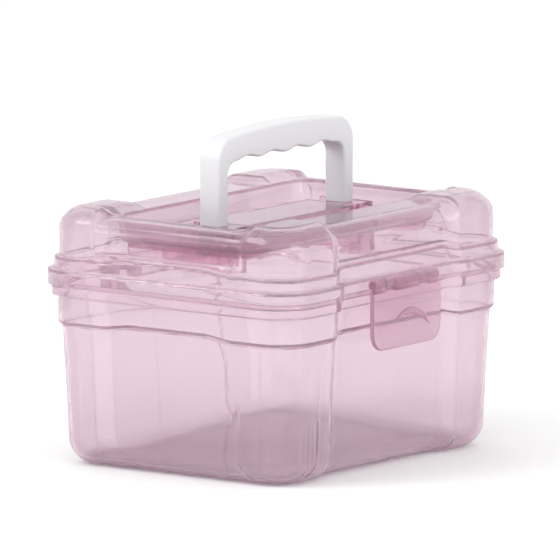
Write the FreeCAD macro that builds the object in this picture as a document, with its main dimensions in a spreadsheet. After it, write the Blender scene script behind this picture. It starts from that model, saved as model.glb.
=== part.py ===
"""Clear storage box for sewing things: a moulded tub, a hinged lid with a well, a folding handle
and one front latch. Millimetres, +Z up, origin at the middle of the base.
The latch is on the +X long side, the hinges are on the -X long side."""

import FreeCAD, Part
import Sketcher

import math
import os
import re

from FreeCAD import Placement, Rotation, Vector

SIZES = {
    # plan outline at the lid rim
    "width": 180.0,
    "length": 220.0,
    "rim_corner": 23.0,
    "recess_depth": 5.0,
    "recess_flat": 50.0,
    "recess_blend": 8.0,
    # tub: heights of its steps, and how far each stands in from the lid rim
    "wall": 2.2,
    "floor": 2.4,
    "base_round": 14.0,
    "tub_base_inset": 9.75,
    "ledge_height": 82.0,
    "tub_wall_inset": 6.0,
    "band_inset": 4.6,
    "lip_height": 95.7,
    "lip_inset": 1.8,
    "tub_top": 101.4,
    "tongue_height": 2.4,
    "step": 1.5,
    # lid
    "lid_gap": 0.2,
    "rim_height": 9.4,
    "lid_band_inset": 2.9,
    "lid_band_height": 9.0,
    "lid_wall_inset": 5.0,
    "lid_top": 142.0,
    "ear_height": 3.5,
    "lid_round": 12.5,
    "ear_start_x": 52.0,
    "ear_start_y": 57.0,
    # well in the lid
    "well_width": 94.0,
    "well_length": 179.0,
    "well_corner": 12.0,
    "well_depth": 13.0,
    "plateau_width": 35.0,
    "plateau_height": 8.0,
    # handle
    "handle_length": 128.0,
    "handle_depth": 14.0,
    "handle_leg": 9.0,
    "handle_top": 189.0,
    "handle_crown": 4.0,
    "grip_underside": 172.0,
    "finger_rise": 2.4,
    "handle_pivot": 132.0,
    "handle_pin": 4.0,
    "shoulder_round": 14.2,
    "elbow_round": 5.4,
    "foot_gap": 0.05,
    "swing_gap": 0.5,
    "running_gap": 0.05,
    # sockets that carry the handle
    "socket_wall": 3.0,
    "socket_drop": 18.0,
    "socket_back": 29.0,
    "bracket_width": 77.0,
    "bracket_drop": 10.0,
    "bracket_corner": 5.0,
    "bracket_edge": 1.5,
    # hinges and latch
    "knuckle": 5.6,
    "hinge_pin": 3.0,
    "knuckle_stand": 0.4,
    "knuckle_length": 8.0,
    "knuckle_gap": 0.3,
    "hinge_place": 32.0,
    "latch_width": 64.8,
    "latch_drop": 37.5,
    "latch_plate": 2.4,
    "latch_corner": 10.0,
    "latch_pivot_rise": 5.4,
    "latch_lug_place": 16.0,
    "latch_lug_height": 4.0,
    "latch_end": 2.0,
    "flange_gap": 1.4,
    "bead_depth": 2.0,
    "bead_gap": 0.2,
}

ROUND_STEPS = 5
FINGERS = 4
OVERLAP = "0.5"    # how far a joined piece runs into the one it grows from
NEAR = 0.5         # how close to a face's line an edge counts as on it

# Places that several pieces share.
WALL_INSIDE = "tub_wall_inset + wall"
BAND_INSIDE = "band_inset + wall"
LEDGE_INSIDE = "ledge_height + step"
LID_BASE = "tub_top + lid_gap"
BAND_BASE = f"{LID_BASE} + rim_height"
LID_WALL_BASE = f"{BAND_BASE} + lid_band_height"
WELL_FLOOR = "lid_top - well_depth"
RECESS_X = "width / 2 - recess_depth"
HINGE_X = f"{RECESS_X} + knuckle / 2 + knuckle_stand"
SOCKET_START = "handle_length / 2 - handle_leg - swing_gap - socket_wall"
SOCKET_END = "handle_length / 2 + swing_gap + socket_wall"
SLOT_FRONT = "handle_depth / 2 + swing_gap"
LATCH_AXIS = f"{LID_BASE} + latch_pivot_rise"
LATCH_LOW = f"{LATCH_AXIS} - latch_drop"
LATCH_BACK = f"{HINGE_X} + knuckle / 2 - latch_plate"

DOCUMENT = FreeCAD.newDocument("clear_sewing_box")


def make_sheet():
    """The sheet that holds every driving size, one alias a row."""
    sheet = DOCUMENT.addObject("Spreadsheet::Sheet", "sizes")
    for row, (alias, value) in enumerate(SIZES.items(), start=1):
        sheet.set(f"A{row}", alias)
        sheet.set(f"B{row}", str(value))
        sheet.setAlias(f"B{row}", alias)
    DOCUMENT.recompute()
    return sheet


SHEET = make_sheet()


def bound(formula):
    """The formula with each size's name as a reference to the sheet."""
    return re.sub(r"[a-z_]+", lambda found: f"sizes.{found[0]}" if found[0] in SIZES else found[0], formula)


def worth(formula):
    """What a formula comes to with the sheet's sizes."""
    return float(SHEET.evalExpression(bound(formula)))


def make_body(name):
    body = DOCUMENT.addObject("PartDesign::Body", name)
    body.Label = name
    return body


def origin_plane(body, role):
    return next(f for f in body.Origin.OriginFeatures if f.Role == role)


def make_sketch(body, name, role, offset="0"):
    """An empty sketch on one of the body's origin planes, moved along that plane's normal."""
    sketch = body.newObject("Sketcher::SketchObject", name)
    sketch.AttachmentSupport = [(origin_plane(body, role), "")]
    sketch.MapMode = "FlatFace"
    sketch.AttachmentOffset = Placement(Vector(0, 0, worth(offset)), Rotation())
    sketch.setExpression(".AttachmentOffset.Base.z", bound(offset))
    return sketch


def fix_place(sketch, direction, geometry, point, formula):
    """Holds one point at a distance from the sketch's origin; the formula may be negative."""
    value = worth(formula)
    first, second, text = (-1, 1), (geometry, point), formula
    if value < 0:
        first, second, text, value = second, first, f"-1 * ({formula})", -value
    index = sketch.addConstraint(Sketcher.Constraint(direction, *first, *second, value))
    sketch.setExpression(f"Constraints[{index}]", bound(text))


def add_rectangle(sketch, left, bottom, right, top):
    """A rectangle whose four sides are formulas."""
    xs = [worth(left), worth(right)]
    ys = [worth(bottom), worth(top)]
    corners = [(xs[0], ys[0]), (xs[1], ys[0]), (xs[1], ys[1]), (xs[0], ys[1])]
    first = sketch.GeometryCount
    for i in range(4):
        start, end = corners[i], corners[(i + 1) % 4]
        sketch.addGeometry(Part.LineSegment(Vector(*start, 0), Vector(*end, 0)))
    for i in range(4):
        sketch.addConstraint(Sketcher.Constraint("Coincident", first + i, 2, first + (i + 1) % 4, 1))
        sketch.addConstraint(Sketcher.Constraint("Vertical" if i % 2 else "Horizontal", first + i))
    fix_place(sketch, "DistanceX", first, 1, left)
    fix_place(sketch, "DistanceY", first, 1, bottom)
    fix_place(sketch, "DistanceX", first + 2, 1, right)
    fix_place(sketch, "DistanceY", first + 2, 1, top)


def add_circle(sketch, across, up, radius):
    index = sketch.addGeometry(Part.Circle(Vector(worth(across), worth(up), 0), Vector(0, 0, 1),
                                           worth(radius)))
    fix_place(sketch, "DistanceX", index, 3, across)
    fix_place(sketch, "DistanceY", index, 3, up)
    size = sketch.addConstraint(Sketcher.Constraint("Radius", index, worth(radius)))
    sketch.setExpression(f"Constraints[{size}]", bound(radius))


def half_outline(inset, corner):
    """The +Y half of the plan outline as (shape, kind) pairs, anticlockwise from the +X recess."""
    half_x = SIZES["width"] / 2 - inset
    half_y = SIZES["length"] / 2 - inset
    flat, blend, depth = SIZES["recess_flat"], SIZES["recess_blend"], SIZES["recess_depth"]
    turn = math.acos(1 - depth / (2 * blend))
    rise = 2 * blend * math.sin(turn)
    up = Vector(0, 0, 1)

    def arc(x, y, radius, start, end):
        return Part.ArcOfCircle(Part.Circle(Vector(x, y, 0), up, radius), start, end)

    def line(x1, y1, x2, y2):
        return Part.LineSegment(Vector(x1, y1, 0), Vector(x2, y2, 0))

    return [
        (arc(half_x - depth + blend, flat, blend, math.pi - turn, math.pi), "hollow"),
        (arc(half_x - blend, flat + rise, blend, -turn, 0), "blend"),
        (line(half_x, flat + rise, half_x, half_y - corner), "column"),
        (arc(half_x - corner, half_y - corner, corner, 0, math.pi / 2), "corner"),
        (line(half_x - corner, half_y, corner - half_x, half_y), "end"),
        (arc(corner - half_x, half_y - corner, corner, math.pi / 2, math.pi), "corner"),
        (line(-half_x, half_y - corner, -half_x, flat + rise), "column"),
        (arc(blend - half_x, flat + rise, blend, math.pi, math.pi + turn), "blend"),
        (arc(depth - half_x - blend, flat, blend, 0, turn), "hollow"),
    ]


def add_outline(sketch, inset, corner):
    """The box's plan outline, stood in by inset: one half, and the same half turned about the origin."""
    inset_value, corner_value = worth(inset), worth(corner)
    half = half_outline(inset_value, corner_value)
    recess_x = SIZES["width"] / 2 - inset_value - SIZES["recess_depth"]
    flat = SIZES["recess_flat"]
    pieces = [(Part.LineSegment(Vector(recess_x, -flat, 0), Vector(recess_x, flat, 0)), "recess")]
    pieces += half
    pieces.append((Part.LineSegment(Vector(-recess_x, flat, 0), Vector(-recess_x, -flat, 0)), "recess"))
    for shape, kind in half:
        turned = shape.copy()
        turned.rotate(Placement(Vector(), Rotation(Vector(0, 0, 1), 180)))
        pieces.append((turned, kind))
    kinds = [kind for shape, kind in pieces]
    for shape, kind in pieces:
        sketch.addGeometry(shape)
    count = len(pieces)
    for i in range(count):
        j = (i + 1) % count
        end = 1 if kinds[i] == "hollow" else 2
        start = 2 if kinds[j] == "hollow" else 1
        sketch.addConstraint(Sketcher.Constraint("Tangent", i, end, j, start))
    for i, kind in enumerate(kinds):
        if kind in ("recess", "column"):
            sketch.addConstraint(Sketcher.Constraint("Vertical", i))
        if kind == "end":
            sketch.addConstraint(Sketcher.Constraint("Horizontal", i))
    for kinds_alike, formula in ((("corner",), corner), (("blend", "hollow"), "recess_blend")):
        alike = [i for i, kind in enumerate(kinds) if kind in kinds_alike]
        size = sketch.addConstraint(Sketcher.Constraint("Radius", alike[0], worth(formula)))
        sketch.setExpression(f"Constraints[{size}]", bound(formula))
        for i in alike[1:]:
            sketch.addConstraint(Sketcher.Constraint("Equal", alike[0], i))
    for i, (shape, kind) in enumerate(pieces):
        side = 1 if shape.value(0.5 * (shape.FirstParameter + shape.LastParameter)).x > 0 else -1
        if kind == "column":
            fix_place(sketch, "DistanceX", i, 1, f"{side} * ( width / 2 - ( {inset} ) )")
        if kind == "recess":
            fix_place(sketch, "DistanceX", i, 1, f"{side} * ( width / 2 - ( {inset} ) - recess_depth )")
            for end in (1, 2):
                point = shape.StartPoint if end == 1 else shape.EndPoint
                end_side = 1 if point.y > 0 else -1
                fix_place(sketch, "DistanceY", i, end, f"{end_side} * recess_flat")
        if kind == "end":
            end_side = 1 if shape.StartPoint.y > 0 else -1
            fix_place(sketch, "DistanceY", i, 1, f"{end_side} * ( length / 2 - ( {inset} ) )")


def outline_sketch(body, name, height, inset, corner):
    sketch = make_sketch(body, name, "XY_Plane", height)
    add_outline(sketch, inset, corner)
    return sketch


def loft(body, kind, name, sections):
    """A ruled loft between outlines; each section is (height, inset, corner) in formulas."""
    sketches = [outline_sketch(body, f"{name}_{i}", *s) for i, s in enumerate(sections)]
    feature = body.newObject(f"PartDesign::{kind}", name)
    feature.Profile = sketches[0]
    feature.Sections = sketches[1:]
    feature.Ruled = True
    return feature


def pad(body, name, sketch, length, kind="Pad", reverse=False, both=False):
    feature = body.newObject(f"PartDesign::{kind}", name)
    feature.Profile = sketch
    feature.Length = worth(length)
    feature.setExpression("Length", bound(length))
    feature.Reversed = reverse
    if both:
        feature.SideType = "Symmetric"
    return feature


def rounded(height, inset, corner, radius, upward):
    """Sections of a rounded edge, on a quarter circle, from its flat side to its upright side."""
    sections = []
    for step in range(ROUND_STEPS + 1):
        angle = math.pi / 2 * step / ROUND_STEPS
        rise = round(1 - math.cos(angle), 6)
        shift = round(1 - math.sin(angle), 6)
        sections.append((f"{height} {'+' if upward else '-'} ({radius}) * {rise}",
                         f"{inset} + ({radius}) * {shift}",
                         f"{corner} - ({radius}) * {shift}"))
    return sections


def make_tub():
    """The tub: drafted walls with a rounded base edge, a stepped band, an outer lip and knuckles."""
    body = make_body("tub")
    corner = "rim_corner - 3"
    loft(body, "AdditiveLoft", "base_edge", rounded("0", "tub_base_inset", corner, "base_round", True))
    loft(body, "AdditiveLoft", "walls", [
        ("base_round", "tub_base_inset", corner),
        ("ledge_height", "tub_wall_inset", "rim_corner - 2"),
    ])
    band = outline_sketch(body, "band_outline", "ledge_height", "band_inset", "rim_corner - 1")
    pad(body, "band", band, "tub_top + tongue_height - ledge_height")
    lip = outline_sketch(body, "lip_outline", "lip_height", "lip_inset", "rim_corner - 0.5")
    pad(body, "lip", lip, "tub_top - lip_height")
    inner_round = "base_round - wall"
    inner = rounded("floor", "tub_base_inset + wall", f"{corner} - wall", inner_round, True)
    loft(body, "SubtractiveLoft", "inner_edge", inner)
    loft(body, "SubtractiveLoft", "inside", [
        (f"floor + {inner_round}", "tub_base_inset + wall", f"{corner} - wall"),
        (LEDGE_INSIDE, WALL_INSIDE, "rim_corner - 2 - wall"),
    ])
    seat = outline_sketch(body, "seat_outline", LEDGE_INSIDE, BAND_INSIDE, "rim_corner - 1 - wall")
    pad(body, "seat", seat, "tub_top + tongue_height - ledge_height", "Pocket", reverse=True)
    knuckles(body, "tub_knuckle", "-1", "hinge_place", [
        ("knuckle_length / 2 + knuckle_length / 4 + knuckle_gap", "knuckle_length"),
        ("-1 * (knuckle_length / 2 + knuckle_length / 4 + knuckle_gap + knuckle_length)", "knuckle_length"),
    ], "lip_height", "tub_top", "lip_inset", "tub_top")
    return body


def knuckles(body, name, side, place, spans, arm_low, arm_high, arm_inset, axis_height):
    """Hinge knuckles on both ends of a long side: for each span, an arm and a barrel bored for its pin."""
    for hinge, end in enumerate(("-1", "1")):
        for number, (start, length) in enumerate(spans):
            label = f"{name}_{hinge}{number}"
            begin = f"{end} * ({place}) + ({start})"
            arm = make_sketch(body, f"{label}_arm", "XZ_Plane", f"-1 * ({begin})")
            inner = f"{side} * ({RECESS_X} - {arm_inset} - wall / 2)"
            outer = f"{side} * ({HINGE_X})"
            left, right = (outer, inner) if side == "-1" else (inner, outer)
            add_rectangle(arm, left, arm_low, right, arm_high)
            pad(body, f"{label}_web", arm, length, reverse=True)
            barrel = make_sketch(body, f"{label}_round", "XZ_Plane", f"-1 * ({begin})")
            add_circle(barrel, outer, axis_height, "knuckle / 2")
            pad(body, f"{label}_barrel", barrel, length, reverse=True)
    bore = make_sketch(body, f"{name}_bore_circle", "XZ_Plane")
    add_circle(bore, f"{side} * ({HINGE_X})", axis_height, "hinge_pin / 2 + running_gap")
    pad(body, f"{name}_bore", bore, "2 * recess_flat", "Pocket", both=True)


def add_rounded_rectangle(sketch, half_x, half_y, corner):
    """A rectangle about the origin with rounded corners, its sizes given as formulas."""
    x, y, r = worth(half_x), worth(half_y), worth(corner)
    up = Vector(0, 0, 1)
    for turn, (cx, cy) in enumerate([(x - r, y - r), (r - x, y - r), (r - x, r - y), (x - r, r - y)]):
        circle = Part.Circle(Vector(cx, cy, 0), up, r)
        sketch.addGeometry(Part.ArcOfCircle(circle, turn * math.pi / 2, (turn + 1) * math.pi / 2))
    ends = [((x - r, y), (r - x, y)), ((-x, y - r), (-x, r - y)),
            ((r - x, -y), (x - r, -y)), ((x, r - y), (x, y - r))]
    for start, end in ends:
        sketch.addGeometry(Part.LineSegment(Vector(*start, 0), Vector(*end, 0)))
    for i in range(4):
        sketch.addConstraint(Sketcher.Constraint("Tangent", i, 2, 4 + i, 1))
        sketch.addConstraint(Sketcher.Constraint("Tangent", 4 + i, 2, (i + 1) % 4, 1))
        sketch.addConstraint(Sketcher.Constraint("Vertical" if i % 2 else "Horizontal", 4 + i))
    size = sketch.addConstraint(Sketcher.Constraint("Radius", 0, r))
    sketch.setExpression(f"Constraints[{size}]", bound(corner))
    for i in range(1, 4):
        sketch.addConstraint(Sketcher.Constraint("Equal", 0, i))
    fix_place(sketch, "DistanceY", 4, 1, half_y)
    fix_place(sketch, "DistanceX", 5, 1, f"-1 * ({half_x})")
    fix_place(sketch, "DistanceY", 6, 1, f"-1 * ({half_y})")
    fix_place(sketch, "DistanceX", 7, 1, half_x)


def make_lid():
    """The lid: a rim, a stepped band and a rounded crown with four raised corners, open below,
    with a well in its top that the handle stands in."""
    body = make_body("lid")
    rim = outline_sketch(body, "rim_outline", LID_BASE, "0", "rim_corner")
    pad(body, "rim", rim, "rim_height")
    band = outline_sketch(body, "band_outline", BAND_BASE, "lid_band_inset", "rim_corner - 1")
    pad(body, "band", band, "lid_band_height")
    crown_height = f"lid_top + ear_height - ({LID_WALL_BASE})"
    crown = outline_sketch(body, "crown_outline", LID_WALL_BASE, "lid_wall_inset", "rim_corner - 2")
    pad(body, "crown_wall", crown, f"{crown_height} - lid_round")
    loft(body, "AdditiveLoft", "crown_edge",
         rounded("lid_top + ear_height", "lid_wall_inset", "rim_corner - 2", "lid_round", False))
    for name, across, along in (("long_cut", "ear_start_x", "length"), ("cross_cut", "width", "ear_start_y")):
        cut = make_sketch(body, f"{name}_outline", "XY_Plane", "lid_top")
        add_rectangle(cut, f"-1 * {across}", f"-1 * {along}", across, along)
        pad(body, name, cut, "2 * ear_height", "Pocket", reverse=True)
    hollow = outline_sketch(body, "rim_hollow_outline", LID_BASE, "wall + lid_gap", "rim_corner - wall")
    pad(body, "rim_hollow", hollow, "rim_height - step", "Pocket", reverse=True)
    hollow = outline_sketch(body, "band_hollow_outline", LID_BASE, "lid_band_inset + wall",
                            "rim_corner - wall - 1")
    pad(body, "band_hollow", hollow, "rim_height + lid_band_height - step", "Pocket", reverse=True)
    inner_round = "lid_round - wall"
    inner_top = "lid_top - wall"
    hollow = outline_sketch(body, "crown_hollow_outline", LID_BASE, "lid_wall_inset + wall",
                            "rim_corner - wall - 2")
    pad(body, "crown_hollow", hollow, f"{inner_top} - ({inner_round}) - ({LID_BASE})", "Pocket", reverse=True)
    loft(body, "SubtractiveLoft", "crown_hollow_edge",
         rounded(inner_top, "lid_wall_inset + wall", "rim_corner - wall - 2", inner_round, False))
    block = make_sketch(body, "well_block_outline", "XY_Plane", f"{WELL_FLOOR} - wall")
    add_rounded_rectangle(block, "well_width / 2 + wall", "well_length / 2 + wall", "well_corner + wall")
    pad(body, "well_block", block, "well_depth + wall / 2")
    well = make_sketch(body, "well_outline", "XY_Plane", WELL_FLOOR)
    add_rounded_rectangle(well, "well_width / 2", "well_length / 2", "well_corner")
    pad(body, "well", well, "well_depth + ear_height", "Pocket", reverse=True)
    plateau = make_sketch(body, "plateau_outline", "XY_Plane", WELL_FLOOR)
    add_rectangle(plateau, "-1 * plateau_width / 2", f"-1 * ({SOCKET_START})",
                  "plateau_width / 2", SOCKET_START)
    pad(body, "plateau", plateau, "plateau_height")
    under = make_sketch(body, "plateau_hollow_outline", "XY_Plane", f"{WELL_FLOOR} - wall")
    add_rectangle(under, "wall - plateau_width / 2", f"wall - ({SOCKET_START})",
                  "plateau_width / 2 - wall", f"{SOCKET_START} - wall")
    pad(body, "plateau_hollow", under, "plateau_height", "Pocket", reverse=True)
    for end in ("-1", "1"):
        hole = make_sketch(body, f"socket_hole_outline_{end}", "XY_Plane", f"{WELL_FLOOR} - wall")
        near, far = f"{end} * ({SOCKET_START})", f"{end} * ({SOCKET_END})"
        low, high = (far, near) if end == "-1" else (near, far)
        add_rectangle(hole, "-1 * socket_back", low, "plateau_width / 2", high)
        pad(body, f"socket_hole_{end}", hole, "2 * wall", "Pocket", reverse=True)
    knuckles(body, "lid_knuckle", "-1", "hinge_place",
             [("-1 * knuckle_length * 3 / 4", "knuckle_length * 3 / 2")],
             LID_BASE, f"{LID_BASE} + rim_height / 2", "0", "tub_top")
    knuckles(body, "latch_lug", "1", "latch_lug_place", [("-1 * knuckle_length / 2", "knuckle_length")],
             f"{LATCH_AXIS} - latch_lug_height / 2", f"{LATCH_AXIS} + latch_lug_height / 2",
             "0", LATCH_AXIS)
    return body


def make_socket(name, end):
    """A pocket that carries one handle leg: it hangs under the well floor and rises as its plateau."""
    body = make_body(name)
    near, far = f"{end} * ({SOCKET_START})", f"{end} * ({SOCKET_END})"
    low = near if end == "1" else far
    length = f"{SOCKET_END} - ({SOCKET_START})"
    below = make_sketch(body, f"{name}_below", "XZ_Plane", f"-1 * ({low})")
    add_rectangle(below, "-1 * socket_back", f"{WELL_FLOOR} - socket_drop", "plateau_width / 2", WELL_FLOOR)
    pad(body, f"{name}_box", below, length, reverse=True)
    above = make_sketch(body, f"{name}_above", "XZ_Plane", f"-1 * ({low})")
    add_rectangle(above, "-1 * plateau_width / 2", WELL_FLOOR,
                  "plateau_width / 2", f"{WELL_FLOOR} + plateau_height")
    pad(body, f"{name}_rise", above, length, reverse=True)
    slot = make_sketch(body, f"{name}_slot_side", "XZ_Plane", f"-1 * ({low} + socket_wall)")
    add_rectangle(slot, "wall - socket_back", f"{WELL_FLOOR} - socket_drop + wall", SLOT_FRONT, "lid_top")
    pad(body, f"{name}_slot", slot, f"{length} - 2 * socket_wall", "Pocket")
    weight = make_sketch(body, f"{name}_core", "XZ_Plane", f"-1 * ({low} + socket_wall)")
    add_rectangle(weight, f"{SLOT_FRONT} + wall", f"{WELL_FLOOR} - socket_drop - wall",
                  "plateau_width / 2 - wall", f"{WELL_FLOOR} + plateau_height - wall")
    pad(body, f"{name}_hollow", weight, f"{length} - 2 * socket_wall", "Pocket")
    bore = make_sketch(body, f"{name}_bore_circle", "XZ_Plane")
    add_circle(bore, "0", "handle_pivot", "handle_pin / 2")
    pad(body, f"{name}_bore", bore, "length", "Pocket", both=True)
    add_bracket(body, name, end)
    return body


def add_bracket(body, name, end):
    """The socket's bracket: a web along the underside of the well floor, and a plate hanging at the end."""
    inner, outer = f"{end} * ({SOCKET_END} - {OVERLAP})", f"{end} * (well_length / 2 - bracket_edge)"
    low, high = (outer, inner) if end == "-1" else (inner, outer)
    web = make_sketch(body, f"{name}_web_outline", "XY_Plane", f"{WELL_FLOOR} - 2 * wall")
    add_rectangle(web, "-1 * bracket_width / 2", low, "bracket_width / 2", high)
    pad(body, f"{name}_web", web, "wall")
    edge = outer if end == "-1" else f"{outer} - wall"
    plate = make_sketch(body, f"{name}_plate_outline", "XZ_Plane", f"-1 * ({edge})")
    add_rectangle(plate, "-1 * bracket_width / 2", f"{WELL_FLOOR} - bracket_drop",
                  "bracket_width / 2", f"{WELL_FLOOR} - wall")
    pad(body, f"{name}_plate", plate, "wall", reverse=True)
    DOCUMENT.recompute()
    half, bottom = worth("bracket_width / 2"), worth(f"{WELL_FLOOR} - bracket_drop")
    corners = edges_along(body.Tip, Vector(0, 1, 0), lambda c: abs(c.x) > half - NEAR and c.z < bottom + NEAR)
    add_fillet(body, f"{name}_plate_corners", body.Tip, corners, "bracket_corner")


def make_pin(name, radius, length, x, y, z):
    """A straight pin along Y, from y on."""
    pin = DOCUMENT.addObject("Part::Cylinder", name)
    pin.Label = name
    pin.setExpression("Radius", bound(radius))
    pin.setExpression("Height", bound(length))
    pin.Placement = Placement(Vector(worth(x), worth(y), worth(z)), Rotation(Vector(1, 0, 0), -90))
    for axis, formula in zip("xyz", (x, y, z)):
        pin.setExpression(f".Placement.Base.{axis}", bound(formula))
    return pin


def edges_along(feature, direction, test):
    """Names of a feature's straight edges along a direction whose middle passes the test."""
    names = []
    for i, edge in enumerate(feature.Shape.Edges, start=1):
        if edge.Curve.TypeId != "Part::GeomLine" or abs(edge.Curve.Direction.dot(direction)) < 0.999:
            continue
        if test(edge.CenterOfMass):
            names.append(f"Edge{i}")
    return names


def add_fillet(body, name, base, edges, radius):
    fillet = body.newObject("PartDesign::Fillet", name)
    fillet.Base = (base, edges)
    fillet.Radius = worth(radius)
    fillet.setExpression("Radius", bound(radius))
    DOCUMENT.recompute()
    return fillet


def add_grip_outline(sketch):
    """The handle's outer outline: two upright sides and a crowned top through three points."""
    half, top = worth("handle_length / 2"), worth("handle_top")
    shoulder, foot = worth("handle_top - handle_crown"), worth("handle_pivot - handle_depth / 2")
    crown = Part.Arc(Vector(half, shoulder, 0), Vector(0, top, 0), Vector(-half, shoulder, 0))
    sides = (
        ((-half, foot), (half, foot)),
        ((half, foot), (half, shoulder)),
        ((-half, shoulder), (-half, foot)),
    )
    for start, end in sides:
        sketch.addGeometry(Part.LineSegment(Vector(*start, 0), Vector(*end, 0)))
    sketch.addGeometry(crown)
    sketch.addConstraint(Sketcher.Constraint("Coincident", 0, 2, 1, 1))
    sketch.addConstraint(Sketcher.Constraint("Coincident", 1, 2, 3, 1))
    sketch.addConstraint(Sketcher.Constraint("Coincident", 3, 2, 2, 1))
    sketch.addConstraint(Sketcher.Constraint("Coincident", 2, 2, 0, 1))
    sketch.addConstraint(Sketcher.Constraint("Horizontal", 0))
    sketch.addConstraint(Sketcher.Constraint("Vertical", 1))
    sketch.addConstraint(Sketcher.Constraint("Vertical", 2))
    fix_place(sketch, "DistanceX", 1, 1, "handle_length / 2")
    fix_place(sketch, "DistanceX", 2, 1, "-1 * handle_length / 2")
    fix_place(sketch, "DistanceY", 0, 1, "handle_pivot - handle_depth / 2")
    fix_place(sketch, "DistanceY", 1, 2, "handle_top - handle_crown")
    fix_place(sketch, "DistanceY", 2, 1, "handle_top - handle_crown")
    fix_place(sketch, "DistanceY", 3, 3,
              "handle_top - handle_crown / 2 - (handle_length / 2) ^ 2 / (2 * handle_crown)")


def add_finger_opening(sketch):
    """The opening under the grip: upright sides and four finger arches side by side."""
    half = worth("handle_length / 2 - handle_leg")
    low, top = worth("handle_pivot - handle_depth"), worth("grip_underside")
    rise = worth("finger_rise")
    step = 2 * half / FINGERS
    sides = (((-half, top), (-half, low)), ((-half, low), (half, low)), ((half, low), (half, top)))
    for start, end in sides:
        sketch.addGeometry(Part.LineSegment(Vector(*start, 0), Vector(*end, 0)))
    for i in range(FINGERS):
        right = half - i * step
        sketch.addGeometry(Part.Arc(Vector(right, top, 0), Vector(right - step / 2, top + rise, 0),
                                    Vector(right - step, top, 0)))
    count = 3 + FINGERS
    for i in range(count):
        sketch.addConstraint(Sketcher.Constraint("Coincident", i, 2, (i + 1) % count, 1))
    sketch.addConstraint(Sketcher.Constraint("Vertical", 0))
    sketch.addConstraint(Sketcher.Constraint("Horizontal", 1))
    sketch.addConstraint(Sketcher.Constraint("Vertical", 2))
    fix_place(sketch, "DistanceX", 0, 1, "handle_leg - handle_length / 2")
    fix_place(sketch, "DistanceX", 2, 1, "handle_length / 2 - handle_leg")
    fix_place(sketch, "DistanceY", 1, 1, "handle_pivot - handle_depth")
    arch = f"((handle_length / 2 - handle_leg) / {FINGERS})"
    for i in range(FINGERS):
        fix_place(sketch, "DistanceX", 3 + i, 3, f"{FINGERS - 1 - 2 * i} * {arch}")
        fix_place(sketch, "DistanceY", 3 + i, 3,
                  f"grip_underside + finger_rise / 2 - {arch} ^ 2 / (2 * finger_rise)")
        if i:
            fix_place(sketch, "DistanceY", 3 + i, 1, "grip_underside")
    fix_place(sketch, "DistanceY", 2, 2, "grip_underside")


def make_handle():
    """The white handle: two legs and a grip with finger arches, bored for its pins."""
    body = make_body("handle")
    outer = make_sketch(body, "grip_outline", "YZ_Plane")
    add_grip_outline(outer)
    pad(body, "grip", outer, "handle_depth", both=True)
    opening = make_sketch(body, "finger_outline", "YZ_Plane")
    add_finger_opening(opening)
    pad(body, "finger_opening", opening, "2 * handle_depth", "Pocket", both=True)
    DOCUMENT.recompute()
    half, top = worth("handle_length / 2"), worth("handle_top")
    foot = worth("handle_pivot - handle_depth / 2")
    x_way, y_way = Vector(1, 0, 0), Vector(0, 1, 0)
    shoulders = edges_along(body.Tip, x_way, lambda c: abs(c.y) > half - NEAR and c.z > top - 20)
    add_fillet(body, "shoulder_round", body.Tip, shoulders, "shoulder_round")
    inner = worth("handle_length / 2 - handle_leg")
    elbows = edges_along(body.Tip, x_way, lambda c: abs(abs(c.y) - inner) < NEAR and c.z > foot + 20)
    add_fillet(body, "elbow_round", body.Tip, elbows, "elbow_round")
    feet = edges_along(body.Tip, y_way, lambda c: c.z < foot + NEAR)
    add_fillet(body, "foot_round", body.Tip, feet, "handle_depth / 2 - foot_gap")
    bore = make_sketch(body, "pin_bore_circle", "XZ_Plane")
    add_circle(bore, "0", "handle_pivot", "handle_pin / 2 + running_gap")
    pad(body, "pin_bore", bore, "2 * handle_length", "Pocket", both=True)
    return body


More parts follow.
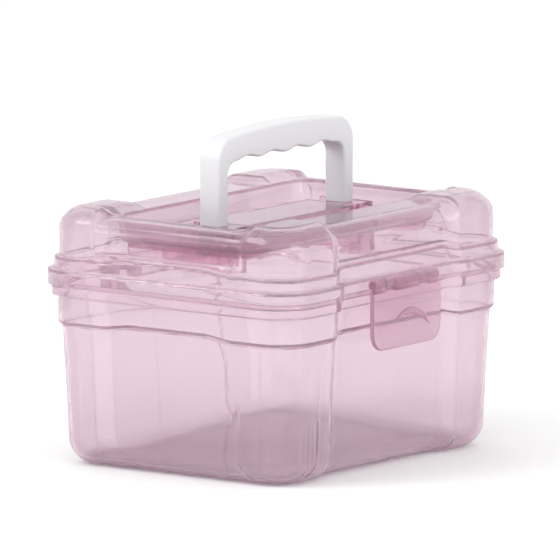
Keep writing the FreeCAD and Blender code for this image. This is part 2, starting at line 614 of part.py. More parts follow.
def make_latch():
    """The front latch: a plate hung from the lid rim on a pin, with side flanges and a catch bead."""
    body = make_body("front_latch")
    plate = make_sketch(body, "plate_outline", "YZ_Plane", LATCH_BACK)
    add_rectangle(plate, "-1 * latch_width / 2", LATCH_LOW, "latch_width / 2",
                  f"{LATCH_AXIS} - knuckle / 2 - knuckle_gap")
    pad(body, "plate", plate, "latch_plate")
    DOCUMENT.recompute()
    half, low = worth("latch_width / 2"), worth(LATCH_LOW)
    corners = edges_along(body.Tip, Vector(1, 0, 0), lambda c: abs(c.y) > half - NEAR and c.z < low + NEAR)
    add_fillet(body, "plate_corners", body.Tip, corners, "latch_corner")
    for side in ("-1", "1"):
        flange = make_sketch(body, f"flange_outline_{side}", "XY_Plane",
                             f"{LATCH_LOW} + latch_corner")
        inner, outer = f"{side} * (latch_width / 2 - wall)", f"{side} * latch_width / 2"
        low_y, high_y = (outer, inner) if side == "-1" else (inner, outer)
        add_rectangle(flange, f"{RECESS_X} - lip_inset + flange_gap", low_y,
                      f"{LATCH_BACK} + {OVERLAP}", high_y)
        pad(body, f"flange_{side}", flange, f"tub_top - wall / 2 - ({LATCH_LOW} + latch_corner)")
    bead = make_sketch(body, "bead_outline", "XY_Plane", "lip_height - bead_depth - bead_gap")
    add_rectangle(bead, f"{RECESS_X} - lip_inset + bead_gap", "wall * 2 - latch_width / 2",
                  f"{LATCH_BACK} + {OVERLAP}", "latch_width / 2 - wall * 2")
    pad(body, "bead", bead, "bead_depth")
    lug_edge = "knuckle_length / 2 + knuckle_gap"
    spans = (
        (f"latch_lug_place + {lug_edge}", "latch_width / 2 - latch_end"),
        (f"{lug_edge} - latch_lug_place", f"latch_lug_place - ({lug_edge})"),
        ("latch_end - latch_width / 2", f"-1 * (latch_lug_place + {lug_edge})"),
    )
    for i, (start, end) in enumerate(spans):
        length = f"({end}) - ({start})"
        web = make_sketch(body, f"web_outline_{i}", "XZ_Plane", f"-1 * ({start})")
        add_rectangle(web, HINGE_X, f"{LATCH_AXIS} - knuckle", f"{LATCH_BACK} + latch_plate", LATCH_AXIS)
        pad(body, f"web_{i}", web, length, reverse=True)
        barrel = make_sketch(body, f"barrel_circle_{i}", "XZ_Plane", f"-1 * ({start})")
        add_circle(barrel, HINGE_X, LATCH_AXIS, "knuckle / 2")
        pad(body, f"barrel_{i}", barrel, length, reverse=True)
    bore = make_sketch(body, "latch_bore_circle", "XZ_Plane")
    add_circle(bore, HINGE_X, LATCH_AXIS, "hinge_pin / 2 + running_gap")
    pad(body, "latch_bore", bore, "length", "Pocket", both=True)
    return body


def make_parts():
    parts = [
        make_tub(),
        make_lid(),
        make_socket("handle_socket_near", "-1"),
        make_socket("handle_socket_far", "1"),
        make_handle(),
        make_latch(),
    ]
    pin_length = f"{SOCKET_END} - ({SOCKET_START})"
    for name, start in (("handle_pin_near", f"-1 * ({SOCKET_END})"), ("handle_pin_far", SOCKET_START)):
        parts.append(make_pin(name, "handle_pin / 2", pin_length, "0", start, "handle_pivot"))
    hinge_length = "knuckle_length * 7 / 2 + 2 * knuckle_gap"
    for name, side in (("hinge_pin_near", "-1"), ("hinge_pin_far", "1")):
        start = f"{side} * hinge_place - ({hinge_length}) / 2"
        parts.append(make_pin(name, "hinge_pin / 2", hinge_length, f"-1 * ({HINGE_X})", start, "tub_top"))
    parts.append(make_pin("latch_pin", "hinge_pin / 2", "latch_width - 2 * latch_end", HINGE_X,
                          "latch_end - latch_width / 2", LATCH_AXIS))
    return parts


def check_and_export(parts):
    """Refuses to write anything if the document or a part's shape is not sound."""
    DOCUMENT.recompute()
    failed = [o.Name for o in DOCUMENT.Objects if "Invalid" in o.State or "Error" in o.State]
    if failed:
        raise RuntimeError(f"objects that failed: {failed}")
    for part in parts:
        if part.Shape.isNull() or not part.Shape.isValid():
            raise RuntimeError(f"{part.Label} has no sound shape")
    os.makedirs("parts", exist_ok=True)
    for part in parts:
        part.Shape.exportStep(f"parts/{part.Label}.step")
        box = part.Shape.BoundBox
        print(part.Label, len(part.Shape.Solids), round(part.Shape.Volume), box)


check_and_export(make_parts())
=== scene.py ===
"""Clear pink sewing box with a hinged lid, a front latch and a folding white handle."""

import math

import bmesh
import bpy
from mathutils import Matrix, Vector


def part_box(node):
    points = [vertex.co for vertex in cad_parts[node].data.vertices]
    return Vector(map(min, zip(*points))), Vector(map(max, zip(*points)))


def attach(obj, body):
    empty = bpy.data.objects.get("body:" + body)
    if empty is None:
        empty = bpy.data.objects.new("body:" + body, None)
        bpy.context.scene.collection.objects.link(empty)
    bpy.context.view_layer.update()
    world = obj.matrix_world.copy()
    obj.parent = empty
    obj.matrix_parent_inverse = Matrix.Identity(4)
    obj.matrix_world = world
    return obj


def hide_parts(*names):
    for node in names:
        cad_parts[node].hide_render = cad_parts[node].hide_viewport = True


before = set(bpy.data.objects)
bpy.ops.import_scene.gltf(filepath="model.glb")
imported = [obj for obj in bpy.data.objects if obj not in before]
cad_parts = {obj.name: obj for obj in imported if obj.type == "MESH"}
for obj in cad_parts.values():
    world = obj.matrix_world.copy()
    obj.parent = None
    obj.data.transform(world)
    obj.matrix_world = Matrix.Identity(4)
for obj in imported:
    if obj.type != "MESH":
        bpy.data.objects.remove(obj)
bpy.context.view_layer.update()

MM = 0.001

# All sizes below are in mm unless their comment says otherwise.
# Walls and rim. Mouldings follow profiles of (how far in from the rim, height, radius of that corner).
LENGTH = (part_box("lid")[1][1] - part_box("lid")[0][1]) / MM
WIDTH = 180.0
WALL = 2.2
RIM_CORNER, CORNER_SHRINK, BASE_INSET, BASE_CORNER = 23.0, 0.31, 10.0, 4.0
INNER_CORNER = 3.0
RECESS, RECESS_FROM, RECESS_TO = 5.0, 50.0, 61.6
RECESS_SIDE_FROM, RECESS_SIDE_TO = 6.0, 2.0

# The front corner's ridges and flutes: two straight runs joined by an arc.
PAD_X, PAD_Y, PAD_ROUND, PAD_MARGIN = 47.0, -72.0, 14.0, 4.0
ARC_X, ARC_Y, ARC_LENGTH = 60.8, 80.8, 31.5
RIDGE, RIDGE_HALF, FLUTE_DEPTH, FLUTE_PITCH = 0.7, 1.7, 0.45, 4.0

# Lid: crown, raised corners, well and the block in it.
EAR_LIFT = 3.5
LID_ROUND = 12.5
LID_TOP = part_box("lid")[1][2] / MM - EAR_LIFT
PANEL_DEPTH = 0.8
WELL_DEPTH = 13.0
WELL_X, WELL_Y, WELL_CORNER = 47.0, 89.5, 12.0
PLATEAU_X, PLATEAU_RISE, PLATEAU_CORNER = 17.5, 8.0, 3.0
SOCKET_MIDDLE, SOCKET_HALF, SOCKET_BACK, SOCKET_GAP = 59.5, 8.0, -29.0, 0.05

# Hinges and latch.
PIVOT_X, HINGE_Z, HINGE_PLACE, LUG_PLACE = 88.2, 101.4, 32.0, 16.0
KNUCKLE_RADIUS, BARREL_RADIUS, BORE_RADIUS = 2.8, 2.75, 1.56
KNUCKLE_LENGTH, LID_KNUCKLE_HALF, LUG_HALF, LUG_ROOM = 8.0, 6.0, 4.0, 4.3
LATCH_Z, LATCH_HALF, LATCH_LOW, LATCH_HIGH, LATCH_FRONT = 107.0, 32.4, 69.5, 103.9, 90.6
LATCH_PLATE, LATCH_LOW_CORNER, LATCH_HIGH_CORNER, LATCH_END = 2.4, 10.0, 1.5, 2.0

# Handle.
FINGERS, FINGER_RISE, HANDLE_EDGE, HANDLE_HALF_DEPTH = 4, 2.0, 1.7, 7.0

# Smooth shading stops at edges sharper than this. The mesh counts are points per curve.
SHARP_ANGLE = math.radians(40)
COLUMN_PARTS, CORNER_PARTS = 24, 40
SLEEVE_POINTS, RIDGE_POINTS = 48, 16

# Share of light that crosses the clear plastic without bending. How wide the view is, in metres.
STRAIGHT_SHARE = 0.15
VIEW_WIDTH = 0.3151


def smooth(value, low, high):
    """0 below low, 1 above high, and an even S between."""
    t = min(1.0, max(0.0, (value - low) / (high - low)))
    return t * t * (3 - 2 * t)


# ---------------------------------------------------------------- plan rings

LONG_STEPS = [0, 8, 16, 24, 32, 38, 43, 46, 48] + [50 + 0.9 * i for i in range(14)]
SHORT_STEPS = [0, 0.12, 0.24, 0.36, 0.44, 0.52, 0.6, 0.67, 0.71] + [0.74 + 0.0125 * i for i in range(20)]


def quarter(half_x, half_y, corner):
    """The outline from the middle of the +X side to just before the middle of the +Y side."""
    points = [(half_x, y) for y in LONG_STEPS]
    last = LONG_STEPS[-1]
    for i in range(1, COLUMN_PARTS):
        points.append((half_x, last + (half_y - corner - last) * i / COLUMN_PARTS))
    for i in range(CORNER_PARTS + 1):
        a = math.pi / 2 * i / CORNER_PARTS
        points.append((half_x - corner + corner * math.cos(a), half_y - corner + corner * math.sin(a)))
    for share in reversed(SHORT_STEPS[1:]):
        points.append(((half_x - corner) * share, half_y))
    return points


def ring(half_x, half_y, corner, recess):
    """All four quarters, anticlockwise, with the long sides' middle panels pressed in."""
    first = quarter(half_x, half_y, corner)
    middle = (0.0, half_y)
    points = first + [middle] + [(-x, y) for x, y in reversed(first[1:])]
    points += [(-x, -y) for x, y in first] + [(0.0, -half_y)] + [(x, -y) for x, y in reversed(first[1:])]
    pressed = []
    for x, y in points:
        side = smooth(abs(x), half_x - RECESS_SIDE_FROM, half_x - RECESS_SIDE_TO)
        inward = recess * side * (1 - smooth(abs(y), RECESS_FROM, RECESS_TO))
        pressed.append((x - math.copysign(inward, x), y))
    return pressed


def outer_corner(inset):
    """The corner radius of an outer face this far in: nearly steady on walls, shrinking on the base."""
    if inset < BASE_INSET:
        return RIM_CORNER - CORNER_SHRINK * inset
    return max(BASE_CORNER, RIM_CORNER - CORNER_SHRINK * BASE_INSET - (inset - BASE_INSET))


def inner_corner(inset):
    return max(INNER_CORNER, outer_corner(inset - WALL) - WALL)


def box_ring(inset, inside=False):
    corner = inner_corner(inset) if inside else outer_corner(inset)
    return ring(WIDTH / 2 - inset, LENGTH / 2 - inset, corner, RECESS)


def well_ring(outward):
    return ring(WELL_X + outward, WELL_Y + outward, max(2.0, WELL_CORNER + outward), 0.0)


def between(ring_a, ring_b, share):
    return [(ax + (bx - ax) * share, ay + (by - ay) * share) for (ax, ay), (bx, by) in zip(ring_a, ring_b)]


def soften(profile, steps=4):
    """Rounds the corners of a profile of (across, up, radius) points with arcs."""
    result = [profile[0][:2]]
    for before, here, after in zip(profile, profile[1:], profile[2:]):
        corner, radius = Vector(here[:2]), here[2]
        if not radius:
            result.append(here[:2])
            continue
        a = (Vector(before[:2]) - corner).normalized()
        b = (Vector(after[:2]) - corner).normalized()
        half = a.angle(b) / 2
        centre = corner + (a + b).normalized() * radius / math.sin(half)
        start = corner + a * radius / math.tan(half) - centre
        end = corner + b * radius / math.tan(half) - centre
        turn = start.angle(end)
        count = max(2, round(steps * (1 + radius / 4)))
        for i in range(count + 1):
            t = i / count
            arm = (start * math.sin((1 - t) * turn) + end * math.sin(t * turn)) / math.sin(turn)
            result.append(tuple(centre + arm))
    result.append(profile[-1][:2])
    return result


def moulding(name, rings):
    """A closed skin through rings of (x, y, z) points in mm, capped at both ends."""
    mesh = bpy.data.meshes.new(name)
    count = len(rings[0])
    points = [(x * MM, y * MM, z * MM) for one in rings for x, y, z in one]
    faces = []
    for level in range(len(rings) - 1):
        low, high = level * count, (level + 1) * count
        for i in range(count):
            j = (i + 1) % count
            faces.append((low + i, low + j, high + j, high + i))
    faces.append(tuple(reversed(range(count))))
    faces.append(tuple(range(len(points) - count, len(points))))
    mesh.from_pydata(points, [], faces)
    mesh.validate()
    mesh.update()
    return add_object(name, mesh)


def add_object(name, mesh):
    piece = bpy.data.objects.new(name, mesh)
    bpy.context.scene.collection.objects.link(piece)
    form = bmesh.new()
    form.from_mesh(mesh)
    bmesh.ops.remove_doubles(form, verts=form.verts, dist=1e-7)
    bmesh.ops.recalc_face_normals(form, faces=form.faces)
    form.to_mesh(mesh)
    form.free()
    mesh.shade_smooth()
    mesh.set_sharp_from_angle(angle=SHARP_ANGLE)
    return piece


# ---------------------------------------------------------------- tub

def column_share(x, y):
    """1 at the corner columns and 0 in the middle of each side, with long S transitions."""
    if abs(y) > LENGTH / 2 - 12 and abs(x) < 75:
        return smooth(abs(x), 24, 46)
    return smooth(abs(y), 46, 60)


def hump(value, width):
    """1 at 0, falling evenly to 0 at the width on both sides."""
    return 1 - smooth(abs(value), 0, width)


def corner_relief(x, y, height):
    """How far the ridges and flutes of the front corner stand out of the wall, mm."""
    if x < PAD_X - PAD_MARGIN or y > PAD_Y + PAD_MARGIN:
        return 0.0
    if x > ARC_X and y < -ARC_Y:
        along = ARC_X - PAD_X + ARC_LENGTH * math.atan2(x - ARC_X, -y - ARC_Y) / (math.pi / 2)
    elif y < -ARC_Y:
        along = x - PAD_X
    else:
        along = ARC_X - PAD_X + ARC_LENGTH + y + ARC_Y
    end = ARC_X - PAD_X + ARC_LENGTH + PAD_Y + ARC_Y
    low = max(0.0, PAD_ROUND - height) / PAD_ROUND
    bend = PAD_ROUND * (1 - math.sqrt(max(0.0, 1 - low * low)))
    near = hump(along - bend, RIDGE_HALF) * (1 - smooth(height, 36, 41))
    far = hump(along - end + bend, RIDGE_HALF)
    far *= (1 - 0.6 * smooth(height, 38, 60)) * (1 - smooth(height, 68, 76))
    flutes = smooth(along, 26, 28) * (1 - smooth(along, end - 4, end - 2))
    flutes *= smooth(height, 9, 12) * (1 - smooth(height, 33, 36))
    wave = 0.5 - 0.5 * math.cos(2 * math.pi * along / FLUTE_PITCH)
    return RIDGE * (near + far) * smooth(height, 1, 4) + FLUTE_DEPTH * flutes * wave


def tub_rings():
    """Outside from the base up, over the lip and tongue, and down the inside to the floor."""
    outside = soften([
        (26, 0, 0), (9.75, 0, 13.9), (8.64, 33.0, 0), (8.58, 34.5, 0), (8.51, 36.0, 0), (8.42, 38.0, 0),
        (8.29, 41.0, 0), (7.9, 50.0, 0), (7.45, 60.0, 0), (7.1, 68.0, 0), (6.75, 76.0, 0),
        (6.2, 80.8, 0.8), (4.7, 82.6, 0.8), (4.4, 95.2, 0.6), (1.8, 96.0, 1.0), (1.8, 101.3, 1.0),
        (4.5, 101.4, 0.4), (4.6, 103.7, 0.5), (6.6, 103.7, 0.5), (6.8, 100.0, 0)])
    inside = soften([
        (6.8, 97.0, 0), (6.9, 83.5, 0.6), (8.4, 82.6, 0.8), (11.95, 2.4, 11.6), (28, 2.4, 0)])
    rings = []
    for number, (inset, height) in enumerate(outside + inside):
        within = number >= len(outside)
        dip = 2.4 * smooth(height, 50, 78) * (1 - smooth(height, 84, 94))
        level = []
        for x, y in box_ring(inset, within):
            out = 0.0 if within or height < 0.3 else corner_relief(x, y, height)
            away = Vector((x / (WIDTH / 2), y / (LENGTH / 2)))
            away = Vector((away.x ** 7, away.y ** 7)).normalized() * out
            level.append((x + away.x, y + away.y, height - dip * column_share(x, y)))
        rings.append(level)
    return rings


def make_tub():
    tub = moulding("tub_shell", tub_rings())
    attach(tub, "tub")
    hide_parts("tub")
    return tub


# ---------------------------------------------------------------- lid

def ear_share(x, y):
    """1 on the four raised corners of the lid."""
    return smooth(abs(x), 49.5, 55) * smooth(abs(y), 54, 62)


def lid_rings():
    """Well, frame, crown and steps outside, then back up the inside to the well's underside."""
    floor = LID_TOP - WELL_DEPTH
    rings = []

    def put(plan, height, lift=0.0, dip=0.0, panel=0.0):
        level = []
        for x, y in plan:
            inward = panel * PANEL_DEPTH * (1 - smooth(abs(x), 50, 53)) * smooth(abs(y), 85, 95)
            level.append((x, y - math.copysign(inward, y),
                          height + lift * EAR_LIFT * ear_share(x, y) - dip * column_share(x, y)))
        rings.append(level)

    well = soften([(-16, floor, 0), (-1.5, floor, 2.5), (0, LID_TOP, 1.2), (1.5, LID_TOP, 0)])
    for outward, height in well:
        put(well_ring(outward), height)
    crown = soften([(5.2 + LID_ROUND, LID_TOP, 0), (5.0, LID_TOP, LID_ROUND - 0.1), (5.2, 123, 0)], 5)
    for share in (0.25, 0.5, 0.75):
        put(between(well_ring(1.5), box_ring(crown[0][0]), share), LID_TOP, 1)
    for inset, height in crown[:-1] + [(5.15, 128.0), (5.2, 124.0), (5.2, 122.5), (5.2, 121.5)]:
        put(box_ring(inset), height, 1 if height > 129 else 0, 0,
            smooth(height, 121.3, 122.6) * (1 - smooth(height, 135, 138.5)))
    steps = soften([
        (5.2, 123, 0), (5.2, 120.4, 0.8), (3.1, 119.8, 0.8), (2.8, 111.2, 0.7), (0.1, 110.8, 1.0),
        (0.0, 101.6, 0.8), (1.2, 101.6, 0)])
    for inset, height in steps:
        put(box_ring(inset), height, 0, 2.2 * smooth(height, 112, 118))
    inner_steps = soften([
        (1.6, 101.6, 0), (2.4, 101.6, 0.4), (2.4, 108.8, 0.6), (5.0, 109.6, 0.6), (5.2, 118.0, 0.6),
        (7.2, 118.8, 0.6), (7.3, 121.0, 0)])
    for inset, height in inner_steps:
        put(box_ring(inset, True), height, 0, 2.2 * smooth(height, 111, 117))
    inner_top = LID_TOP - WALL
    inner_crown = soften([
        (7.3, 121.0, 0), (7.2, inner_top, LID_ROUND - WALL), (5.2 + LID_ROUND, inner_top, 0)], 5)
    for inset, height in inner_crown[1:]:
        put(box_ring(inset, True), height, 1)
    for share in (0.25, 0.5, 0.75):
        put(between(box_ring(5.2 + LID_ROUND, True), well_ring(WALL + 0.6), share), inner_top, 1)
    for outward, height in soften([(WALL + 0.5, inner_top, 0), (WALL, inner_top, 0.5),
                                   (WALL - 1.5, floor - WALL, 3.5), (-16, floor - WALL, 0)]):
        put(well_ring(outward), height)
    return rings


def make_lid():
    lid = moulding("lid_shell", lid_rings())
    for node in ("handle_socket_near", "handle_socket_far"):
        cut_hole(lid, node)
    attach(lid, "lid")
    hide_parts("lid")
    return lid


def cut_hole(lid, node):
    """Opens the well floor where a socket comes up through it."""
    middle = math.copysign(SOCKET_MIDDLE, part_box(node)[1][1])
    x0, x1 = SOCKET_BACK - SOCKET_GAP, PLATEAU_X + SOCKET_GAP
    y0, y1 = middle - SOCKET_HALF - SOCKET_GAP, middle + SOCKET_HALF + SOCKET_GAP
    z0, z1 = LID_TOP - WELL_DEPTH - 2 * WALL, LID_TOP - WELL_DEPTH + WALL
    loop = [(x0, y0), (x1, y0), (x1, y1), (x0, y1)]
    cutter = moulding("cutter", [[(x, y, z0) for x, y in loop], [(x, y, z1) for x, y in loop]])
    cut = lid.modifiers.new("hole", "BOOLEAN")
    cut.operation, cut.solver, cut.object = "DIFFERENCE", "EXACT", cutter
    bpy.context.view_layer.update()
    mesh = bpy.data.meshes.new_from_object(lid.evaluated_get(bpy.context.evaluated_depsgraph_get()))
    lid.modifiers.clear()
    mesh.set_sharp_from_angle(angle=SHARP_ANGLE)
    lid.data = mesh
    bpy.data.objects.remove(cutter)


def make_plateau():
    """The raised block between the two handle sockets, hollow below."""
    floor = LID_TOP - WELL_DEPTH

    def level(inset, height):
        plan = []
        half_x, half_y = PLATEAU_X - inset, SOCKET_MIDDLE - SOCKET_HALF - SOCKET_GAP - inset
        corner = PLATEAU_CORNER
        for turn, (cx, cy) in enumerate([(1, 1), (-1, 1), (-1, -1), (1, -1)]):
            for i in range(6):
                a = math.pi / 2 * (turn + i / 5)
                plan.append((cx * (half_x - corner) + corner * math.cos(a),
                             cy * (half_y - corner) + corner * math.sin(a), height))
        return plan

    outside = soften([(0, floor + 0.05, 0), (0, floor + PLATEAU_RISE, 1.5), (4, floor + PLATEAU_RISE, 0)])
    inside = soften([(4, floor + PLATEAU_RISE - WALL, 0), (WALL, floor + PLATEAU_RISE - WALL, 0.8),
                     (WALL, floor + 0.05, 0)])
    rings = [level(inset, height) for inset, height in reversed(outside)]
    rings += [level(inset, height) for inset, height in reversed(inside)]
    plateau = moulding("well_plateau", rings)
    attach(plateau, "lid")
    return plateau


# ---------------------------------------------------------------- hinges

def ray_out(angle, radius, web):
    """How far a round barrel with a rectangular web (x0, z0, x1, z1 from its axis) reaches at an angle."""
    c, s = math.cos(angle), math.sin(angle)
    x0, z0, x1, z1 = web
    reach = min([v / c for v in (x0, x1) if v / c > 0] + [v / s for v in (z0, z1) if v / s > 0])
    return max(radius, reach)


def sleeve(x, z, radius, web, y0, y1):
    """Rings of a bored barrel with a web, along Y: out over one end, along, and back through the bore."""
    angles = [2 * math.pi * (i + 0.5) / SLEEVE_POINTS for i in range(SLEEVE_POINTS)]
    rings = []
    for inset, y in ((0.5, y0), (0, y0 + 0.5), (0, y1 - 0.5), (0.5, y1)):
        rings.append([(x + (ray_out(a, radius, web) - inset) * math.cos(a), y,
                       z + (ray_out(a, radius, web) - inset) * math.sin(a)) for a in angles])
    for y in (y1, y0):
        rings.append([(x + BORE_RADIUS * math.cos(a), y, z + BORE_RADIUS * math.sin(a)) for a in angles])
    return rings


def looped(name, all_rings):
    """One mesh of closed loops of rings, each a ring-shaped solid."""
    points, faces = [], []
    for rings in all_rings:
        base, count = len(points), len(rings[0])
        points += [(x * MM, y * MM, z * MM) for one in rings for x, y, z in one]
        for level in range(len(rings)):
            low, high = base + level * count, base + (level + 1) % len(rings) * count
            for i in range(count):
                j = (i + 1) % count
                faces.append((low + i, low + j, high + j, high + i))
    mesh = bpy.data.meshes.new(name)
    mesh.from_pydata(points, [], faces)
    return add_object(name, mesh)


def make_knuckles():
    """The hinge barrels on the tub and the lid, and the lugs that carry the latch."""
    pieces = []
    tub, lid, lugs = [], [], []
    for side in (-1, 1):
        for start in (-14.3, 6.3):
            y = side * HINGE_PLACE + start
            tub.append(sleeve(-PIVOT_X, HINGE_Z, KNUCKLE_RADIUS, (-0.1, -5.6, 4.9, 0.05),
                              y, y + KNUCKLE_LENGTH))
        y = side * HINGE_PLACE
        lid.append(sleeve(-PIVOT_X, HINGE_Z, KNUCKLE_RADIUS, (-0.1, -0.05, 3.2, 4.9),
                          y - LID_KNUCKLE_HALF, y + LID_KNUCKLE_HALF))
        y = side * LUG_PLACE
        lugs.append(sleeve(PIVOT_X, LATCH_Z, KNUCKLE_RADIUS, (-3.2, -2, 0.1, 2),
                           y - LUG_HALF, y + LUG_HALF))
    for name, body, rings in (("tub_knuckles", "tub", tub), ("lid_knuckles", "lid", lid),
                              ("latch_lugs", "lid", lugs)):
        piece = looped(name, rings)
        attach(piece, body)
        pieces.append(piece)
    return pieces


# ---------------------------------------------------------------- latch

def latch_outline(inset):
    """The latch plate's outline as (y, z), anticlockwise from its lower right corner."""
    half, low, high = LATCH_HALF - inset, LATCH_LOW + inset, LATCH_HIGH - inset
    round_low, round_high = LATCH_LOW_CORNER - inset, LATCH_HIGH_CORNER
    points = []
    for cy, cz, radius, turn in ((half, low, round_low, 3), (half, high, round_high, 0),
                                 (-half, high, round_high, 1), (-half, low, round_low, 2)):
        for i in range(9):
            a = math.pi / 2 * (turn + i / 8)
            points.append((cy - math.copysign(radius, cy) + radius * math.cos(a),
                           (cz + radius if cz == low else cz - radius) + radius * math.sin(a)))
    return points


def make_latch():
    """A flat plate with rounded edges, a thumb ridge across it and the barrels it hangs from."""
    front, back = LATCH_FRONT, LATCH_FRONT - LATCH_PLATE
    profile = soften([(7, front, 0), (0, front, 1.1), (0, back, 0.7), (7, back, 0)])
    plate = moulding("latch_plate", [[(x, y, z) for y, z in latch_outline(inset)] for inset, x in profile])
    ridge = []
    turns = [2 * math.pi * i / RIDGE_POINTS for i in range(RIDGE_POINTS)]
    path = [(-10, 86.0), (-6, 87.8), (-1, 89.0), (4, 89.2), (9, 88.2), (14, 86.0), (18, 83.2), (21, 80.0)]
    for i, (y, z) in enumerate(path):
        before, after = path[max(0, i - 1)], path[min(len(path) - 1, i + 1)]
        along = Vector((after[0] - before[0], after[1] - before[1])).normalized()
        width = 2.2 * math.sin(math.pi * (i + 0.25) / (len(path) - 0.5)) ** 0.7
        ridge.append([(front - 0.2 + 0.6 * max(-0.1, math.sin(a)), y - along.y * width * math.cos(a),
                       z + along.x * width * math.cos(a)) for a in turns])
    thumb = moulding("latch_thumb_ridge", ridge)
    spans = ((LUG_PLACE + LUG_ROOM, LATCH_HALF - LATCH_END), (LUG_ROOM - LUG_PLACE, LUG_PLACE - LUG_ROOM),
             (LATCH_END - LATCH_HALF, -LUG_PLACE - LUG_ROOM))
    barrels = looped("latch_barrels", [
        sleeve(PIVOT_X, LATCH_Z, BARREL_RADIUS, (-0.1, -5.0, 2.1, 0.05), y0, y1) for y0, y1 in spans])
    for piece in (plate, thumb, barrels):
        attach(piece, "front_latch")
    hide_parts("front_latch")
    return [plate, thumb, barrels]


# ---------------------------------------------------------------- handle

def handle_stations():
    """(inner point, outer point, half depth) across the handle, from its right foot over to its left."""
    stations = []
    for z in (125.1, 125.4, 126.0, 127.0, 128.4, 130.0, 132.0, 136.0, 142.0, 150.0, 158.0, 164.0):
        depth = math.sqrt(max(1.0, 49 - max(0.0, 132 - z) ** 2))
        stations.append(((55.0, z), (64.0, z + max(0.0, z - 136) * 0.3), depth))
    low_out = stations[-1][1][1]
    for i in range(1, 11):
        a = math.pi / 2 * i / 10
        inner = (47 + 8 * math.cos(a), 164 + 8 * math.sin(a))
        outer = (50 + 14 * math.cos(a), low_out + (186.5 - low_out) * math.sin(a))
        stations.append((inner, outer, HANDLE_HALF_DEPTH))
    right_leg = len(stations)
    for i in range(1, 49):
        share = i / 49
        y_in, y_out = 47 - 94 * share, 50 - 100 * share
        wave = FINGER_RISE / 2 * (1 - math.cos(2 * math.pi * FINGERS * share))
        stations.append(((y_in, 172 + wave), (y_out, 189 - 2.5 * (y_out / 50) ** 2), HANDLE_HALF_DEPTH))
    left_leg = [((-a[0], a[1]), (-b[0], b[1]), depth) for a, b, depth in reversed(stations[:right_leg])]
    return stations + left_leg


def make_handle():
    """Rounded rectangles across each station, from one foot over the grip to the other."""
    rings = []
    for inner, outer, depth in handle_stations():
        inner, outer = Vector(inner), Vector(outer)
        across = (outer - inner).normalized()
        half, centre = (outer - inner).length / 2, (outer + inner) / 2
        edge = min(HANDLE_EDGE, depth * 0.9, half * 0.9)
        level = []
        for turn, (cu, cx) in enumerate([(1, 1), (-1, 1), (-1, -1), (1, -1)]):
            for i in range(6):
                a = math.pi / 2 * (turn + i / 5)
                u = cu * (half - edge) + edge * math.cos(a)
                x = cx * (depth - edge) + edge * math.sin(a)
                place = centre + across * u
                level.append((x, place.x, place.y))
        rings.append(level)
    handle = moulding("handle_grip", rings)
    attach(handle, "handle")
    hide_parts("handle")
    return handle


# ---------------------------------------------------------------- materials

def linear(code):
    """An sRGB hex colour as linear red, green, blue and alpha."""
    values = [int(code[i:i + 2], 16) / 255 for i in (1, 3, 5)]
    return tuple(v / 12.92 if v <= 0.04045 else ((v + 0.055) / 1.055) ** 2.4 for v in values) + (1.0,)


def add_node(tree, kind, settings=None, links=None):
    """Adds a node, sets its sockets or attributes, and links its inputs from other sockets."""
    node = tree.nodes.new(kind)
    for key, value in (settings or {}).items():
        if key in node.inputs:
            node.inputs[key].default_value = value
        else:
            setattr(node, key, value)
    for key, source in (links or {}).items():
        tree.links.new(source, node.inputs[key])
    return node


def new_material(name):
    material = bpy.data.materials.new(name)
    material.use_nodes = True
    material.node_tree.nodes.clear()
    return material, material.node_tree


def moulded_clear_polystyrene(name, skin, tint, depth_mm):
    """Clear crystal polystyrene, injection moulded: glossy, faintly wavy, its colour deeper edge on.
    skin tints what crosses each face; depth_mm is how much plastic light passes to take on the tint."""
    material, tree = new_material(name)
    place = add_node(tree, "ShaderNodeTexCoord")
    waves = add_node(tree, "ShaderNodeTexNoise", {"Scale": 1 / (30 * MM), "Detail": 2.0},
                     {"Vector": place.outputs["Object"]})
    bump = add_node(tree, "ShaderNodeBump", {"Strength": 0.15, "Distance": 0.25 * MM},
                    {"Height": waves.outputs["Fac"]})
    shader = add_node(tree, "ShaderNodeBsdfPrincipled", {
        "Base Color": linear(skin), "Roughness": 0.02, "IOR": 1.45, "Transmission Weight": 1.0,
    }, {"Normal": bump.outputs["Normal"]})
    colour = linear(tint)
    strongest = max(-math.log(c) for c in colour[:3])
    absorbed = [1 + math.log(c) / strongest for c in colour[:3]]
    volume = add_node(tree, "ShaderNodeVolumeAbsorption", {
        "Color": (*absorbed, 1), "Density": strongest / (depth_mm * MM)})
    straight = add_node(tree, "ShaderNodeBsdfTransparent", {
        "Color": tuple(math.sqrt(c) for c in linear(skin))})
    share = add_node(tree, "ShaderNodeMixShader", {"Fac": STRAIGHT_SHARE})
    tree.links.new(straight.outputs[0], share.inputs[2])
    tree.links.new(shader.outputs[0], share.inputs[1])
    add_node(tree, "ShaderNodeOutputMaterial", {}, {
        "Surface": share.outputs[0], "Volume": volume.outputs["Volume"]})
    return material


def glossy_white_handle():
    """White polypropylene from a polished mould: an even white with a soft sheen and a fine grain."""
    material, tree = new_material("moulded_white_polypropylene")
    place = add_node(tree, "ShaderNodeTexCoord")
    grain = add_node(tree, "ShaderNodeTexNoise", {"Scale": 1 / (1.2 * MM), "Detail": 3.0},
                     {"Vector": place.outputs["Object"]})
    bump = add_node(tree, "ShaderNodeBump", {"Strength": 0.08, "Distance": 0.05 * MM},
                    {"Height": grain.outputs["Fac"]})
    shader = add_node(tree, "ShaderNodeBsdfPrincipled", {
        "Base Color": linear("#DEDDE0"), "Roughness": 0.28, "IOR": 1.49,
    }, {"Normal": bump.outputs["Normal"]})
    add_node(tree, "ShaderNodeOutputMaterial", {}, {"Surface": shader.outputs[0]})
    return material


def dress(piece, material):
    piece.data.materials.clear()
    piece.data.materials.append(material)


# ---------------------------------------------------------------- stage

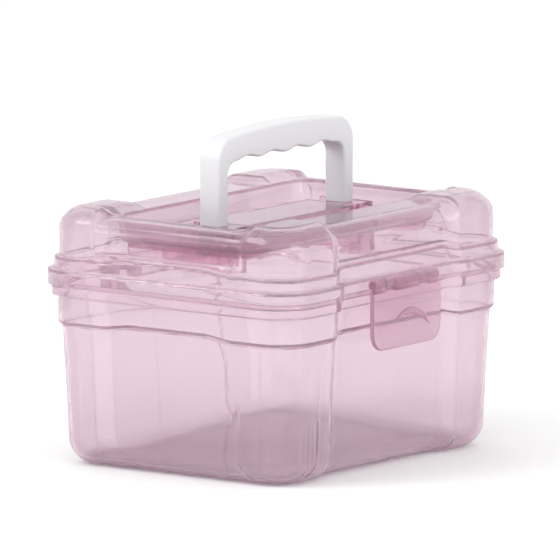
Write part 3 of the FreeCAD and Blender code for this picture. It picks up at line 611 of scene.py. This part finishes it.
def make_stage():
    """A wide white floor, just under the base."""
    floor_mesh = bpy.data.meshes.new("floor")
    size = 3.0
    corners = [(-size, -size, 0), (size, -size, 0), (size, size, 0), (-size, size, 0)]
    floor_mesh.from_pydata(corners, [], [(0, 1, 2, 3)])
    floor = bpy.data.objects.new("floor", floor_mesh)
    bpy.context.scene.collection.objects.link(floor)
    floor.location.z = -0.0005
    material, tree = new_material("pale_floor")
    shader = add_node(tree, "ShaderNodeBsdfDiffuse", {"Color": (1, 1, 1, 1)})
    add_node(tree, "ShaderNodeOutputMaterial", {}, {"Surface": shader.outputs[0]})
    floor_mesh.materials.append(material)


def make_light():
    """A white surround and two soft lamps, given as (name, place, size in metres, power in watts)."""
    world = bpy.data.worlds.new("studio")
    bpy.context.scene.world = world
    world.use_nodes = True
    world.node_tree.nodes["Background"].inputs["Color"].default_value = (1, 1, 1, 1)
    world.node_tree.nodes["Background"].inputs["Strength"].default_value = 1.0
    lamps = (("key", (-0.6, -1.0, 1.1), 0.7, 7.0), ("side", (1.3, -0.2, 0.7), 0.6, 3.0))
    for name, place, size, power in lamps:
        lamp = bpy.data.lights.new(name, "AREA")
        lamp.size, lamp.energy = size, power
        holder = bpy.data.objects.new(name, lamp)
        holder.location = place
        holder.rotation_euler = (Vector((0, 0, 0.07)) - Vector(place)).to_track_quat("-Z", "Y").to_euler()
        bpy.context.scene.collection.objects.link(holder)


def make_camera():
    """A long lens from a little above, turned round to the corner between the end and the latch side."""
    azimuth, elevation, distance = math.radians(36.3), math.radians(8.7), 9.611
    across, up = 1.8 * MM, 28.25 * MM
    right = Vector((math.cos(azimuth), math.sin(azimuth), 0))
    back = Vector((math.sin(azimuth) * math.cos(elevation), -math.cos(azimuth) * math.cos(elevation),
                   math.sin(elevation)))
    above = back.cross(right)
    target = Vector((0, 0, 70 * MM)) + right * across + above * up
    data = bpy.data.cameras.new("camera")
    data.sensor_width = 36
    data.lens = data.sensor_width * distance / VIEW_WIDTH
    data.clip_end = 50
    camera = bpy.data.objects.new("camera", data)
    camera.matrix_world = Matrix((right, above, back)).transposed().to_4x4()
    camera.location = target + back * distance
    bpy.context.scene.collection.objects.link(camera)
    bpy.context.scene.camera = camera


def main():
    bpy.context.scene.view_settings.view_transform = "Standard"
    bpy.context.scene.cycles.max_bounces = 40
    bpy.context.scene.cycles.transmission_bounces = 40
    bpy.context.scene.cycles.glossy_bounces = 40
    bpy.context.scene.cycles.transparent_max_bounces = 64
    pink = moulded_clear_polystyrene("moulded_clear_pink_polystyrene", "#F0E6EB", "#F8EAF2", 10.0)
    deep = moulded_clear_polystyrene("moulded_deep_pink_polystyrene", "#F2E2EA", "#F4E0EA", 9.0)
    socket = moulded_clear_polystyrene("moulded_rose_polystyrene", "#F8EBF2", "#F7E4EE", 9.0)
    white = glossy_white_handle()
    for piece in [make_tub(), make_lid(), make_plateau()] + make_knuckles():
        dress(piece, pink)
    for piece in make_latch():
        dress(piece, deep)
    dress(make_handle(), white)
    for node in ("handle_socket_near", "handle_socket_far", "handle_pin_near", "handle_pin_far"):
        dress(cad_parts[node], socket)
    for node in ("hinge_pin_near", "hinge_pin_far", "latch_pin"):
        dress(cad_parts[node], deep)
    make_stage()
    make_light()
    make_camera()


main()
